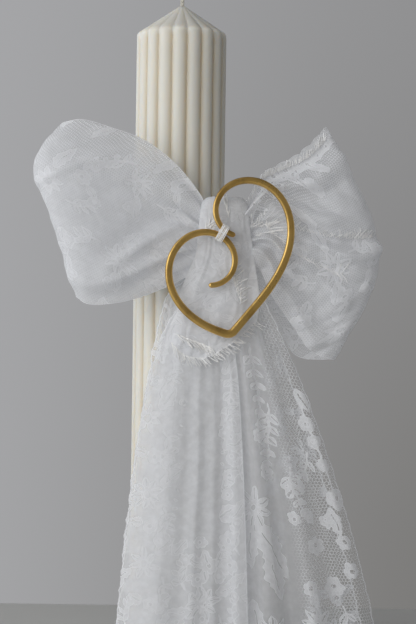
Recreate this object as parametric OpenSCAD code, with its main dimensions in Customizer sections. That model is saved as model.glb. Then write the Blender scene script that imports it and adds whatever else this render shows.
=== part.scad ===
// Unity candle: a ribbed pillar candle dressed with a lace bow, long lace tails and a brass
// scroll. Millimetres. The origin is the centre of the candle's foot, +Z is up, -Y is the front.

/* [Candle] */
// Diameter over the ribs of the wax pillar
candle_d = 60; // [56:1:60]
// Height of the wax up to the tip of its cone
candle_h = 450; // [440:5:500]
// Height of the cone at the top
cone_h = 18; // [12:1:24]
// Number of ribs round the pillar
ribs = 18; // [14:1:22]
// Radius that each rib is rounded to
rib_r = 6; // [5.5:0.1:7]
// Diameter of the cotton wick
wick_d = 3; // [2:0.5:4]
// Length of wick that stands out of the wax
wick_out = 12; // [8:1:16]

/* [Ribbon round the candle] */
// Lower edge of the satin band
band_z0 = 264; // [262:1:268]
// Upper edge of the satin band
band_z1 = 316; // [310:1:320]
// Clearance between the satin band and the ribs
band_gap = 0.35; // [0.3:0.05:0.5]
// Thickness of the satin band
band_t = 0.75; // [0.5:0.05:0.75]

/* [Bow] */
// Thickness of one gathered layer of lace
lace_t = 1.2; // [0.8:0.1:1.2]
// Thickness of the lace in the two loops
loop_t = 1.6; // [1:0.1:1.8]
// Height of the tails' hem over the table
hem_z = 10; // [8:1:20]
// Folds in each front tail
front_folds = 5; // [3:1:6]
// Folds in each back tail
back_folds = 4; // [3:1:6]

/* [Brass scroll] */
// Wire diameter at the point of the heart
wire_d_mid = 5.8; // [5:0.1:6.2]
// Wire diameter at the two curled ends
wire_d_end = 3.8; // [3:0.1:4.2]
// Radius of the bend at the point of the heart
point_r = 5; // [4:0.5:6]

/* [Hidden] */

// Candle
rib_ring = candle_d / 2 - rib_r;        // circle that the ribs' centres lie on
rib_turn = 8.5;                         // turns a groove almost to the front, as it was set down
shoulder_z = candle_h - cone_h;
tip_r = 2.6;
foot_chamfer = 0.8;
sustainer_d = 20;
sustainer_t = 0.6;
sustainer_neck_d = 6;
sustainer_h = 6;
wick_z0 = 2;                            // the wick's lower end, inside the neck
fit_gap = 0.05;

// Depths of the layers at the middle of the bow, from the candle outwards
sash_apex = [34, -38.5];
sash_r = candle_d / 2 + band_gap + band_t + 0.3 + lace_t / 2;
back_tail_y = -40.6;
loop_back_y = -44;
loop_front_y = -51.5;
front_tail_y = -54.6;
wrap_y = -59.3;
scroll_y = -66;
wire_x = 31;

LOOP_U = 44;    // steps along a loop
LOOP_V = 12;    // steps across a loop
FOLD_STEPS = 8; // steps across one fold of a tail
TAIL_V = 12;    // steps down a tail
TAIL_TOP = 298;

function mix(a, b, t) = a + (b - a) * t;
function clamp01(t) = max(0, min(1, t));
function smooth(t) = let(c = clamp01(t)) c * c * (3 - 2 * c);

// Smooth curve through points [position, value], whose positions rise
function segment(p, x, i = 0) = (i >= len(p) - 2 || x < p[i + 1][0]) ? i : segment(p, x, i + 1);
function slope(p, i) = let(a = max(0, i - 1), b = min(len(p) - 1, i + 1))
    (p[b][1] - p[a][1]) / (p[b][0] - p[a][0]);
function curve(p, x) = let(i = segment(p, x), w = p[i + 1][0] - p[i][0], t = clamp01((x - p[i][0]) / w))
    (2 * t ^ 3 - 3 * t ^ 2 + 1) * p[i][1] + (t ^ 3 - 2 * t ^ 2 + t) * w * slope(p, i)
    + (3 * t ^ 2 - 2 * t ^ 3) * p[i + 1][1] + (t ^ 3 - t ^ 2) * w * slope(p, i + 1);

// Closed solid between two equal grids of points; outer[i][j] faces outwards.
// ring joins the last column to the first, and flip is for grids that run the other way.
module shell(outer, inner, ring = false, flip = false) {
    m = len(outer);
    n = len(outer[0]);
    cols = ring ? m : m - 1;
    half = m * n;
    points = concat([for (c = outer, q = c) q], [for (c = inner, q = c) q]);
    quads = concat(
        [for (i = [0:cols - 1], j = [0:n - 2]) let(k = (i + 1) % m)
            [i * n + j, k * n + j, k * n + j + 1, i * n + j + 1]],
        [for (i = [0:cols - 1], j = [0:n - 2]) let(k = (i + 1) % m)
            [half + i * n + j, half + i * n + j + 1, half + k * n + j + 1, half + k * n + j]],
        [for (i = [0:cols - 1]) let(k = (i + 1) % m) [k * n, i * n, half + i * n, half + k * n]],
        [for (i = [0:cols - 1]) let(k = (i + 1) % m, e = n - 1)
            [i * n + e, k * n + e, half + k * n + e, half + i * n + e]],
        ring ? [] : [for (j = [0:n - 2]) [j, j + 1, half + j + 1, half + j]],
        ring ? [] : [for (j = [0:n - 2]) let(e = (m - 1) * n)
            [e + j + 1, e + j, half + e + j, half + e + j + 1]]);
    faces = [for (q = quads, t = [[q[0], q[1], q[2]], [q[0], q[2], q[3]]])
        flip ? [t[2], t[1], t[0]] : t];
    polyhedron(points, faces, convexity = 8);
}

// Tube along a path of [x, z] points at depth y, with a radius for each point
module bent_wire(path, radii, y, sides = 12) {
    last = len(path) - 1;
    function across(i) = let(a = path[max(0, i - 1)], b = path[min(last, i + 1)], d = b - a)
        [-d[1], d[0]] / norm(d);
    points = [for (i = [0:last], k = [0:sides - 1]) let(n = across(i), c = radii[i] * cos(360 * k / sides))
        [path[i][0] + n[0] * c, y + radii[i] * sin(360 * k / sides), path[i][1] + n[1] * c]];
    faces = concat(
        [for (i = [0:last - 1], k = [0:sides - 1]) let(a = i * sides, l = (k + 1) % sides)
            each [[a + k, a + sides + k, a + sides + l], [a + k, a + sides + l, a + l]]],
        [[for (k = [0:sides - 1]) k]],
        [[for (k = [sides - 1:-1:0]) last * sides + k]]);
    polyhedron(points, faces, convexity = 8);
}

// ---- Candle ----

module fluted_outline() {
    union() {
        circle(r = rib_ring + 2, $fn = 96);
        for (i = [0:ribs - 1])
            rotate(i * 360 / ribs + rib_turn) translate([rib_ring, 0]) circle(r = rib_r, $fn = 64);
    }
}

module wax_body() {
    color("ivory") difference() {
        intersection() {
            linear_extrude(height = candle_h) fluted_outline();
            rotate_extrude($fn = 96) polygon([[0, 0], [candle_d / 2 - foot_chamfer, 0],
                [candle_d / 2 + 0.1, foot_chamfer], [candle_d / 2 + 0.1, shoulder_z],
                [candle_d / 2 - 1.2, shoulder_z + 1.4], [tip_r, candle_h], [0, candle_h]]);
        }
        translate([0, 0, -1]) cylinder(d = wick_d + 2 * fit_gap, h = candle_h + 2, $fn = 32);
        translate([0, 0, -1]) cylinder(d = sustainer_d + 1, h = sustainer_t + 1.4, $fn = 48);
        translate([0, 0, -1]) cylinder(d = sustainer_neck_d + 0.6, h = sustainer_h + 1.6, $fn = 48);
    }
}

module wick() {
    color("linen") translate([0, 0, wick_z0])
        cylinder(d = wick_d, h = candle_h + wick_out - wick_z0, $fn = 32);
}

// Tab pressed into the foot, flush with it, with a neck that is crimped on the wick
module wick_sustainer() {
    color("silver") difference() {
        union() {
            cylinder(d = sustainer_d, h = sustainer_t, $fn = 48);
            cylinder(d = sustainer_neck_d, h = sustainer_h, $fn = 48);
        }
        translate([0, 0, wick_z0 - 0.2]) cylinder(d = wick_d + 2 * fit_gap, h = sustainer_h, $fn = 32);
    }
}

// ---- Ribbon round the candle ----

module satin_band() {
    inside = candle_d / 2 + band_gap;
    color("white") translate([0, 0, band_z0]) rotate_extrude($fn = 96)
        translate([inside, 0]) square([band_t, band_z1 - band_z0]);
}

// The sash goes round the candle and comes off it on two tangents that meet behind the knot
function sash_point(t, r) = let(d = norm(sash_apex), to = atan2(sash_apex[1], sash_apex[0]),
    half_wrap = acos(r / d), a0 = to + half_wrap, a1 = to + 360 - half_wrap,
    apex = sash_apex * ((d + r - sash_r) / d), leg = 0.2,
    on0 = r * [cos(a0), sin(a0)], on1 = r * [cos(a1), sin(a1)])
    t < leg ? mix(apex, on0, t / leg) :
    t > 1 - leg ? mix(on1, apex, (t - 1 + leg) / leg) :
    let(a = mix(a0, a1, (t - leg) / (1 - 2 * leg))) r * [cos(a), sin(a)];
function sash_low(t) = mix(264, 279, smooth(abs(t - 0.5) / 0.26 - 0.92));
function sash_high(t) = mix(316, 303, smooth(abs(t - 0.5) / 0.26 - 0.92));

module lace_sash() {
    steps = 60;
    grid = [for (side = [1, -1]) [for (i = [0:steps - 1]) let(t = i / steps,
        q = sash_point(t, sash_r + side * lace_t / 2))
        [for (j = [0:4]) [q[0], q[1], mix(sash_low(t), sash_high(t), j / 4)]]]];
    color("white") shell(grid[0], grid[1], ring = true, flip = true);
}

// ---- Bow ----

// Annealed wire that ties the gathered lace together behind the knot
module floral_wire() {
    front = front_tail_y - lace_t / 2 - 1.8;
    back = sash_apex[1] + 2.5;
    low = 262;
    high = 314;
    corner = 5;
    color("gray") translate([wire_x, (front + back) / 2, (low + high) / 2]) rotate([90, 0, 90])
        linear_extrude(height = 1, center = true) difference() {
            offset(r = corner) square([back - front - 2 * corner, high - low - 2 * corner], center = true);
            offset(r = corner - 1) square([back - front - 2 * corner, high - low - 2 * corner], center = true);
        }
}

// A loop runs out from the knot in front (u = 0), turns, and comes back behind (u = 1).
// reach is how far it goes at each height, plan gives [u, share of reach] and [u, depth].
left_x = 30;
left_reach = [[0, 93], [0.3, 103], [0.6, 115], [0.75, 120], [0.9, 112], [1, 102]];
left_run = [[0, 0], [0.12, 0.2], [0.24, 0.47], [0.36, 0.76], [0.45, 0.95], [0.5, 1], [0.55, 0.96],
    [0.65, 0.76], [0.78, 0.46], [0.89, 0.2], [1, 0]];
left_depth = [[0, loop_front_y], [0.08, -51.6], [0.15, -53], [0.22, -57.5], [0.29, -66], [0.37, -75], [0.44, -76],
    [0.5, -68], [0.56, -56], [0.66, -47], [0.8, loop_back_y], [1, loop_back_y]];
left_top = [[0, 306], [0.11, 314], [0.16, 322], [0.31, 340], [0.5, 354], [0.7, 361], [0.88, 365], [1, 363]];
left_low_front = [[0, 284], [0.2, 283], [0.4, 278], [0.65, 268], [0.85, 260], [1, 254]];
left_low_back = [[0, 266], [0.2, 262], [0.4, 257], [0.65, 252], [0.8, 249], [0.9, 250], [1, 254]];

right_x = 33;
right_reach = [[0, 67], [0.1, 76], [0.23, 87], [0.36, 94], [0.5, 95], [0.62, 90], [0.76, 80], [0.9, 70], [1, 60]];
right_run = left_run;
right_depth = [[0, loop_front_y], [0.08, -51.6], [0.15, -53.5], [0.25, -58], [0.36, -61], [0.44, -57], [0.5, -48],
    [0.56, -36], [0.66, -26], [0.77, -32], [0.86, -42.4], [1, loop_back_y]];
right_top = [[0, 306], [0.1, 311], [0.17, 317], [0.25, 328], [0.34, 336], [0.54, 343], [0.78, 352], [1, 366]];
right_low_front = [[0, 284], [0.2, 280], [0.3, 273], [0.4, 258], [0.53, 246], [0.63, 236], [0.79, 223], [1, 218]];
right_low_back = [[0, 268], [0.3, 262], [0.45, 241], [0.65, 220], [1, 218]];

// Height of a loop at u and v, going over from the front edge to the back edge at the turn
function loop_height(u, v, r, top, low_front, low_back) =
    mix(mix(curve(low_front, r), curve(low_back, r), smooth((u - 0.44) / 0.12)), curve(top, r), v);

function loop_point(u, v, x0, dir, reach, run, depth, top, low_front, low_back) =
    let(r = curve(run, u))
    [x0 + dir * r * curve(reach, v), curve(depth, u), loop_height(u, v, r, top, low_front, low_back)];

// Direction out of the loop's wall at u, seen from above
function loop_out(u, v, dir, reach, run, depth) = let(h = 0.01, a = max(0, u - h), b = min(1, u + h),
    dx = dir * (curve(run, b) - curve(run, a)) * curve(reach, v), dy = curve(depth, b) - curve(depth, a))
    [dir * dy, -dir * dx, 0] / norm([dx, dy]);

module bow_loop(x0, dir, reach, run, depth, top, low_front, low_back) {
    grid = [for (side = [1, -1]) [for (i = [0:LOOP_U]) let(u = i / LOOP_U) [for (j = [0:LOOP_V])
        let(v = j / LOOP_V, q = loop_point(u, v, x0, dir, reach, run, depth, top, low_front, low_back))
        q + side * loop_t / 2 * loop_out(u, v, dir, reach, run, depth)]]];
    color("whitesmoke") shell(grid[0], grid[1], flip = dir > 0);
}

module loop_left() {
    bow_loop(left_x, -1, left_reach, left_run, left_depth, left_top, left_low_front, left_low_back);
}

module loop_right() {
    bow_loop(right_x, 1, right_reach, right_run, right_depth, right_top, right_low_front, right_low_back);
}

// The lace laid over the middle of the bow: up behind the top edge, over it, and down the front
wrap_top = 320;
wrap_hem = 217;
wrap_r = 7.6;
wrap_left = [[217, -2], [232, 6], [250, 14], [280, 19], [320, 19]];
wrap_right = [[217, 45], [232, 47], [250, 48], [280, 45], [300, 42], [320, 41]];

wrap_turn = 135;    // how far the bend goes over the top
WRAP_BEND = 8;      // steps over the bend
WRAP_DOWN = 18;     // steps down the front
WRAP_ACROSS = 14;   // steps across
function wrap_point(j, r) = let(centre_y = wrap_y + wrap_r, mid = wrap_top - wrap_r)
    j < WRAP_BEND ? let(a = wrap_turn * (1 - j / WRAP_BEND)) [centre_y - r * cos(a), mid + r * sin(a)]
    : [centre_y - r, mix(mid, wrap_hem, (j - WRAP_BEND) / WRAP_DOWN)];

module knot_wrap() {
    grid = [for (side = [1, -1]) let(r = wrap_r + side * lace_t / 2) [for (i = [0:WRAP_ACROSS])
        [for (j = [0:WRAP_BEND + WRAP_DOWN]) let(q = wrap_point(j, r),
            x = mix(curve(wrap_left, q[1]), curve(wrap_right, q[1]), i / WRAP_ACROSS))
            [x, q[0], q[1]]]]];
    color("white") shell(grid[0], grid[1]);
}

// How far the sides of the skirt of tails are drawn back round the candle
sweep_y = 24;
function swept(x, z) = sweep_y * ((x - wire_x) / 108) ^ 2 * clamp01(1 - z / TAIL_TOP);

// A tail fans out from the knot and falls in folds that deepen downwards
module tail(left, right, depth, amp, folds, phase, top_z) {
    cols = folds * FOLD_STEPS;
    grid = [for (side = [-1, 1]) [for (i = [0:cols]) [for (j = [0:TAIL_V])
        let(z = mix(top_z, hem_z, j / TAIL_V),
            x = mix(curve(left, z), curve(right, z), i / cols))
        [x, curve(depth, z) + swept(x, z) + curve(amp, z) * sin(360 * folds * i / cols + phase)
            + side * lace_t / 2, z]]]];
    color("white") shell(grid[0], grid[1]);
}

back_depth = [[10, -44], [100, -43], [200, -40.5], [255, -39.3], [275, back_tail_y], [300, back_tail_y]];
back_amp = [[10, 4.5], [100, 3.6], [200, 2.2], [245, 0.9], [265, 0.25], [300, 0.2]];
front_depth = [[10, -60], [100, -58], [200, -54.5], [240, front_tail_y], [300, front_tail_y]];
front_amp = [[10, 7], [100, 6], [200, 3.2], [225, 1.8], [255, 0.3], [300, 0.2]];

module tail_back_left() {
    tail([[10, -41], [50, -37], [119, -31], [190, -22], [241, -13], [261, -6], [280, 14], [300, 18]],
         [[10, 62], [120, 52], [200, 41], [260, 30], [300, 30]], back_depth, back_amp, back_folds, 40, TAIL_TOP);
}

module tail_back_right() {
    tail([[10, 66], [120, 56], [200, 46], [260, 36], [300, 32.5]],
         [[10, 139], [56, 129], [101, 118], [142, 106], [178, 93], [209, 80], [226, 71], [241, 62],
          [255, 50], [275, 44], [300, 43]], back_depth, back_amp, back_folds, 200, TAIL_TOP);
}

module tail_front_left() {
    tail([[10, -36], [50, -32], [119, -26], [190, -17], [230, -9], [245, -2], [262, 13], [300, 19]],
         [[10, 44], [120, 40], [200, 35], [260, 30], [300, 30]], front_depth, front_amp, front_folds, 90, TAIL_TOP);
}

module tail_front_right() {
    tail([[10, 48], [120, 44], [200, 39], [260, 34], [300, 32.5]],
         [[10, 133], [56, 123], [101, 112], [142, 100], [178, 88], [209, 76], [226, 68], [241, 60],
          [255, 50], [275, 46], [300, 45]], front_depth, front_amp, front_folds, 250, TAIL_TOP);
}

// ---- Brass scroll: a heart drawn in one line, whose curvature grows towards its two curls ----

point_at = [32.5, 233.5];
// Heading at the point, curvature there and at the curl in degrees per mm, length, growth
scroll_left = [164, -0.66, -4.1, 147, 1];
scroll_right = [51.4, -0.2, 3.96, 171, 1.14];
SCROLL_STEPS = 44;

function bend_at(h, t) = mix(h[1], h[2], t ^ h[4]);
function half_heart(h, at, i = 0, angle = undef) =
    let(step = h[3] / SCROLL_STEPS, a = is_undef(angle) ? h[0] : angle,
        next = a + bend_at(h, (i + 0.5) / SCROLL_STEPS) * step, way = (a + next) / 2)
    i > SCROLL_STEPS ? [] :
    concat([at], half_heart(h, at + step * [cos(way), sin(way)], i + 1, next));

bend_centre = point_at + [0, point_r];
left_heading = scroll_left[0] - 180;
left_start = bend_centre + point_r * [sin(left_heading), -cos(left_heading)];
right_start = bend_centre + point_r * [sin(scroll_right[0]), -cos(scroll_right[0])];
left_line = half_heart(scroll_left, left_start);
right_line = half_heart(scroll_right, right_start);
scroll_path = concat([for (i = [SCROLL_STEPS:-1:0]) left_line[i]],
    [for (i = [1:5]) let(a = mix(left_heading, scroll_right[0], i / 6))
        bend_centre + point_r * [sin(a), -cos(a)]],
    right_line);
function wire_r(i) = let(last = len(scroll_path) - 1, t = abs(i / last * 2 - 1))
    mix(wire_d_mid, wire_d_end, t ^ 1.5) / 2;

module brass_scroll() {
    color("goldenrod") bent_wire(scroll_path, [for (i = [0:len(scroll_path) - 1]) wire_r(i)], scroll_y);
}

// Thread wound round both curls where they meet, which ties the scroll to the knot
binding_at = [28.4, 296.2];
binding_tilt = 28;      // the curls run side by side at this slope
binding_turns = 7;
binding_pitch = 0.75;
binding_r = 2.65;       // inner radius round each curl
binding_w = 5.2;        // distance between the two rounds' centres
thread_d = 0.6;

module binding_turn() {
    rotate([0, 90, 0]) linear_extrude(height = thread_d, center = true) difference() {
        offset(r = binding_r + thread_d) square([binding_w, 0.2], center = true);
        offset(r = binding_r) square([binding_w, 0.2], center = true);
    }
}

module scroll_binding() {
    color("white") translate([binding_at[0], scroll_y, binding_at[1]]) rotate([0, binding_tilt, 0])
        for (i = [0:binding_turns - 1])
            translate([(i - (binding_turns - 1) / 2) * binding_pitch, 0, 0]) binding_turn();
}

// Stitch that holds the binding to the knot, and that the scroll swings about
stitch_d = 1.2;
stitch_gap = 0.4;
module tie_stitch() {
    front = scroll_y + binding_r + 0.1 + thread_d + stitch_gap;
    back = wrap_y - lace_t / 2;
    color("white") translate([binding_at[0], back, binding_at[1]]) rotate([90, 0, 0])
        cylinder(d = stitch_d, h = back - front, $fn = 24);
}

wax_body();
wick();
wick_sustainer();
satin_band();
lace_sash();
floral_wire();
loop_left();
loop_right();
knot_wrap();
tail_back_left();
tail_back_right();
tail_front_left();
tail_front_right();
brass_scroll();
scroll_binding();
tie_stitch();
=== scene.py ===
"""Looks for the unity candle: ribbed ivory wax, a lace bow with long tails, and a brass scroll."""

import math

import bpy
import numpy as np
from mathutils import Matrix, Vector


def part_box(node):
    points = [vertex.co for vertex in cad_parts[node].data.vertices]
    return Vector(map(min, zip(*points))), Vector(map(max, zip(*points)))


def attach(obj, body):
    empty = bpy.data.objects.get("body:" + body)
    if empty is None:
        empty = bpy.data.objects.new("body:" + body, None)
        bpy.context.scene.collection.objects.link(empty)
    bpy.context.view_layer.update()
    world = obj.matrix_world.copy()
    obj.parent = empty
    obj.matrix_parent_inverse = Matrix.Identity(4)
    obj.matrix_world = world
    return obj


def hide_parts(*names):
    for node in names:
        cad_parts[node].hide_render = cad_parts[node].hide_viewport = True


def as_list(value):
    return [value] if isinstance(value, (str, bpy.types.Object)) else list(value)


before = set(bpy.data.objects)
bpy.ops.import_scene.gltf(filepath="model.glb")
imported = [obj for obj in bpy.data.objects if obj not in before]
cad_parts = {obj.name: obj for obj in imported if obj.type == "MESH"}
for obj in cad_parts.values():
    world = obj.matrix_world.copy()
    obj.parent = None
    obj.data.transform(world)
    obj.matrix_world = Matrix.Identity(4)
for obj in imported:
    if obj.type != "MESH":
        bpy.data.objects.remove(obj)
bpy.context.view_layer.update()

MM = 0.001
TAU = 2 * math.pi

# ---------------------------------------------------------------- mathematics


def mix(a, b, t):
    """Goes from a to b as t goes from 0 to 1."""
    return a + (b - a) * t


def smooth(t):
    """Goes from 0 to 1 with t and is level at both ends and beyond them."""
    t = np.clip(t, 0, 1)
    return t * t * (3 - 2 * t)


def curve(points, x):
    """Smooth curve through [position, value] points, whose positions rise."""
    p = np.array(points, float)
    x = np.clip(np.asarray(x, float), p[0, 0], p[-1, 0])
    i = np.clip(np.searchsorted(p[:, 0], x, side="right") - 1, 0, len(p) - 2)
    low = np.maximum(np.arange(len(p)) - 1, 0)
    high = np.minimum(np.arange(len(p)) + 1, len(p) - 1)
    slope = (p[high, 1] - p[low, 1]) / (p[high, 0] - p[low, 0])
    w = p[i + 1, 0] - p[i, 0]
    t = (x - p[i, 0]) / w
    start = (2 * t**3 - 3 * t**2 + 1) * p[i, 1] + (t**3 - 2 * t**2 + t) * w * slope[i]
    end = (3 * t**2 - 2 * t**3) * p[i + 1, 1] + (t**3 - t**2) * w * slope[i + 1]
    return start + end


def ripple(x, y, seed):
    """Smooth random hills, about -1 to 1, over two arrays that broadcast together."""
    draw = np.random.default_rng(seed)
    order = np.concatenate([draw.permutation(256)] * 2)
    slant = draw.random(256) * TAU
    x, y = np.broadcast_arrays(np.asarray(x, float), np.asarray(y, float))
    xi, yi = np.floor(x).astype(int), np.floor(y).astype(int)
    xf, yf = x - xi, y - yi

    def corner(dx, dy):
        a = slant[order[order[(xi + dx) & 255] + ((yi + dy) & 255)]]
        return np.cos(a) * (xf - dx) + np.sin(a) * (yf - dy)

    fx = xf**3 * (xf * (xf * 6 - 15) + 10)
    fy = yf**3 * (yf * (yf * 6 - 15) + 10)
    near = mix(corner(0, 0), corner(1, 0), fx)
    far = mix(corner(0, 1), corner(1, 1), fx)
    return 1.4 * mix(near, far, fy)


def crumple(x, y, seed):
    """Smooth hollows that meet in sharp ridges, mostly between -1 and 0.6."""
    return 0.6 - 2.6 * np.abs(ripple(x, y, seed))


def bell(x, centre, width):
    """1 at the centre, falling smoothly to almost 0 at twice the width from it."""
    return np.exp(-(((x - centre) / width) ** 2))


def heading(angle):
    """Unit vector at an angle in degrees."""
    a = math.radians(angle)
    return np.array([math.cos(a), math.sin(a)])


# ---------------------------------------------------------------- meshes


def new_object(name, verts, faces, material, smooth_shade=True):
    """A mesh object, with vertices in metres, in the scene."""
    mesh = bpy.data.meshes.new(name)
    mesh.from_pydata([tuple(v) for v in verts], [], [tuple(f) for f in faces])
    mesh.polygons.foreach_set("use_smooth", [smooth_shade] * len(mesh.polygons))
    mesh.materials.append(material)
    mesh.update()
    obj = bpy.data.objects.new(name, mesh)
    bpy.context.scene.collection.objects.link(obj)
    return obj


def grid_faces(m, n, ring=False):
    """Quads of a grid whose vertex (i, j) is number i * n + j."""
    i, j = np.meshgrid(np.arange(m if ring else m - 1), np.arange(n - 1), indexing="ij")
    k = (i + 1) % m
    return np.stack([i * n + j, k * n + j, k * n + j + 1, i * n + j + 1], -1).reshape(-1, 4)


def ring_faces(rings, around):
    """Quads between closed rings of vertices."""
    flat = grid_faces(rings, around + 1)
    ring, k = np.divmod(flat, around + 1)
    return ring * around + k % around


def unit(vectors):
    """The vectors, each brought to a length of 1."""
    return vectors / np.maximum(np.linalg.norm(vectors, axis=-1, keepdims=True), 1e-12)


def grid_normals(p):
    """Unit normals of a grid of points p[i, j]."""
    return unit(np.cross(np.gradient(p, axis=0), np.gradient(p, axis=1)))


def run_length(p, axis):
    """Distance along a grid's lines from their middles, in the grid's own units."""
    steps = np.linalg.norm(np.diff(p, axis=axis), axis=-1)
    total = np.cumsum(steps, axis=axis)
    total = np.insert(total, 0, 0.0, axis=axis)
    middle = np.take(total, [p.shape[axis] // 2], axis=axis)
    return total - middle


ANY_WAY = (0.31, 0.79, 0.52)  # a direction that no path follows, to start a tube's section from


def tube(path, radii, sides):
    """Vertices and faces of a closed tube along a path of points."""
    path = np.asarray(path, float)
    radii = np.broadcast_to(np.asarray(radii, float), len(path))
    t = unit(np.gradient(path, axis=0))
    a = unit(np.cross(t, np.array(ANY_WAY)))
    b = np.cross(t, a)
    turn = TAU * np.arange(sides) / sides
    ring = a[:, None] * np.cos(turn)[:, None] + b[:, None] * np.sin(turn)[:, None]
    verts = (path[:, None] + ring * radii[:, None, None]).reshape(-1, 3)
    start = list(range(sides - 1, -1, -1))
    end = [(len(path) - 1) * sides + q for q in range(sides)]
    return verts, ring_faces(len(path), sides)[:, [0, 3, 2, 1]].tolist() + [start, end]


def threads_object(name, paths, radii, material, sides=4):
    """Threads along paths in millimetres, as one mesh."""
    verts, faces, count = [], [], 0
    for path, radius in zip(paths, radii):
        v, f = tube(path, radius, sides)
        faces += [[count + q for q in face] for face in f]
        verts.append(v)
        count += len(v)
    return new_object(name, np.vstack(verts) * MM, faces, material)


# ---------------------------------------------------------------- material nodes


class Nodes:
    """Short names for building a material's nodes, or a world's. Colours are (r, g, b)."""

    def __init__(self, owner):
        self.owner = owner
        owner.use_nodes = True
        self.tree = owner.node_tree
        self.tree.nodes.clear()

    def node(self, kind, **settings):
        made = self.tree.nodes.new(kind)
        for key, value in settings.items():
            setattr(made, key, value)
        return made

    def put(self, socket, value):
        if isinstance(value, bpy.types.NodeSocket):
            self.tree.links.new(value, socket)
        elif value is not None:
            socket.default_value = (*value, 1) if socket.type == "RGBA" else value

    def math(self, operation, a, b=None, c=None):
        made = self.node("ShaderNodeMath", operation=operation)
        for socket, value in zip(made.inputs, (a, b, c)):
            self.put(socket, value)
        return made.outputs[0]

    def add(self, a, b):
        return self.math("ADD", a, b)

    def sub(self, a, b):
        return self.math("SUBTRACT", a, b)

    def mul(self, a, b):
        return self.math("MULTIPLY", a, b)

    def size(self, a):
        return self.math("ABSOLUTE", a)

    def most(self, first, *others):
        for value in others:
            first = self.math("MAXIMUM", first, value)
        return first

    def step(self, value, low, high, out_low=0.0, out_high=1.0):
        """Goes smoothly from out_low to out_high as value goes from low to high."""
        made = self.node("ShaderNodeMapRange", interpolation_type="SMOOTHSTEP")
        for socket, v in zip(made.inputs, (value, low, high, out_low, out_high)):
            self.put(socket, v)
        return made.outputs[0]

    def blend(self, factor, a, b):
        made = self.node("ShaderNodeMix", data_type="RGBA")
        self.put(made.inputs[0], factor)
        self.put(made.inputs[6], a)
        self.put(made.inputs[7], b)
        return made.outputs[2]

    def place(self):
        return self.node("ShaderNodeTexCoord").outputs["Object"]

    def xyz(self, vector):
        made = self.node("ShaderNodeSeparateXYZ")
        self.put(made.inputs[0], vector)
        return made.outputs

    def noise(self, scale, detail=2.0, vector=None, roughness=0.5):
        made = self.node("ShaderNodeTexNoise")
        made.inputs["Scale"].default_value = scale
        made.inputs["Detail"].default_value = detail
        made.inputs["Roughness"].default_value = roughness
        self.put(made.inputs["Vector"], vector or self.place())
        return made.outputs[0]

    def bump(self, height, distance, strength=1.0):
        made = self.node("ShaderNodeBump")
        made.inputs["Strength"].default_value = strength
        made.inputs["Distance"].default_value = distance
        self.put(made.inputs["Height"], height)
        return made.outputs[0]

    def principled(self, **values):
        made = self.node("ShaderNodeBsdfPrincipled")
        for key, value in values.items():
            self.put(made.inputs[key.replace("_", " ")], value)
        return made.outputs[0]

    def mix_shaders(self, factor, a, b):
        made = self.node("ShaderNodeMixShader")
        for socket, value in zip(made.inputs, (factor, a, b)):
            self.put(socket, value)
        return made.outputs[0]

    def finish(self, shader, output="ShaderNodeOutputMaterial"):
        self.put(self.node(output).inputs[0], shader)
        return self.owner


def new_material(name):
    return Nodes(bpy.data.materials.new(name))


# ---------------------------------------------------------------- lace


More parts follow.
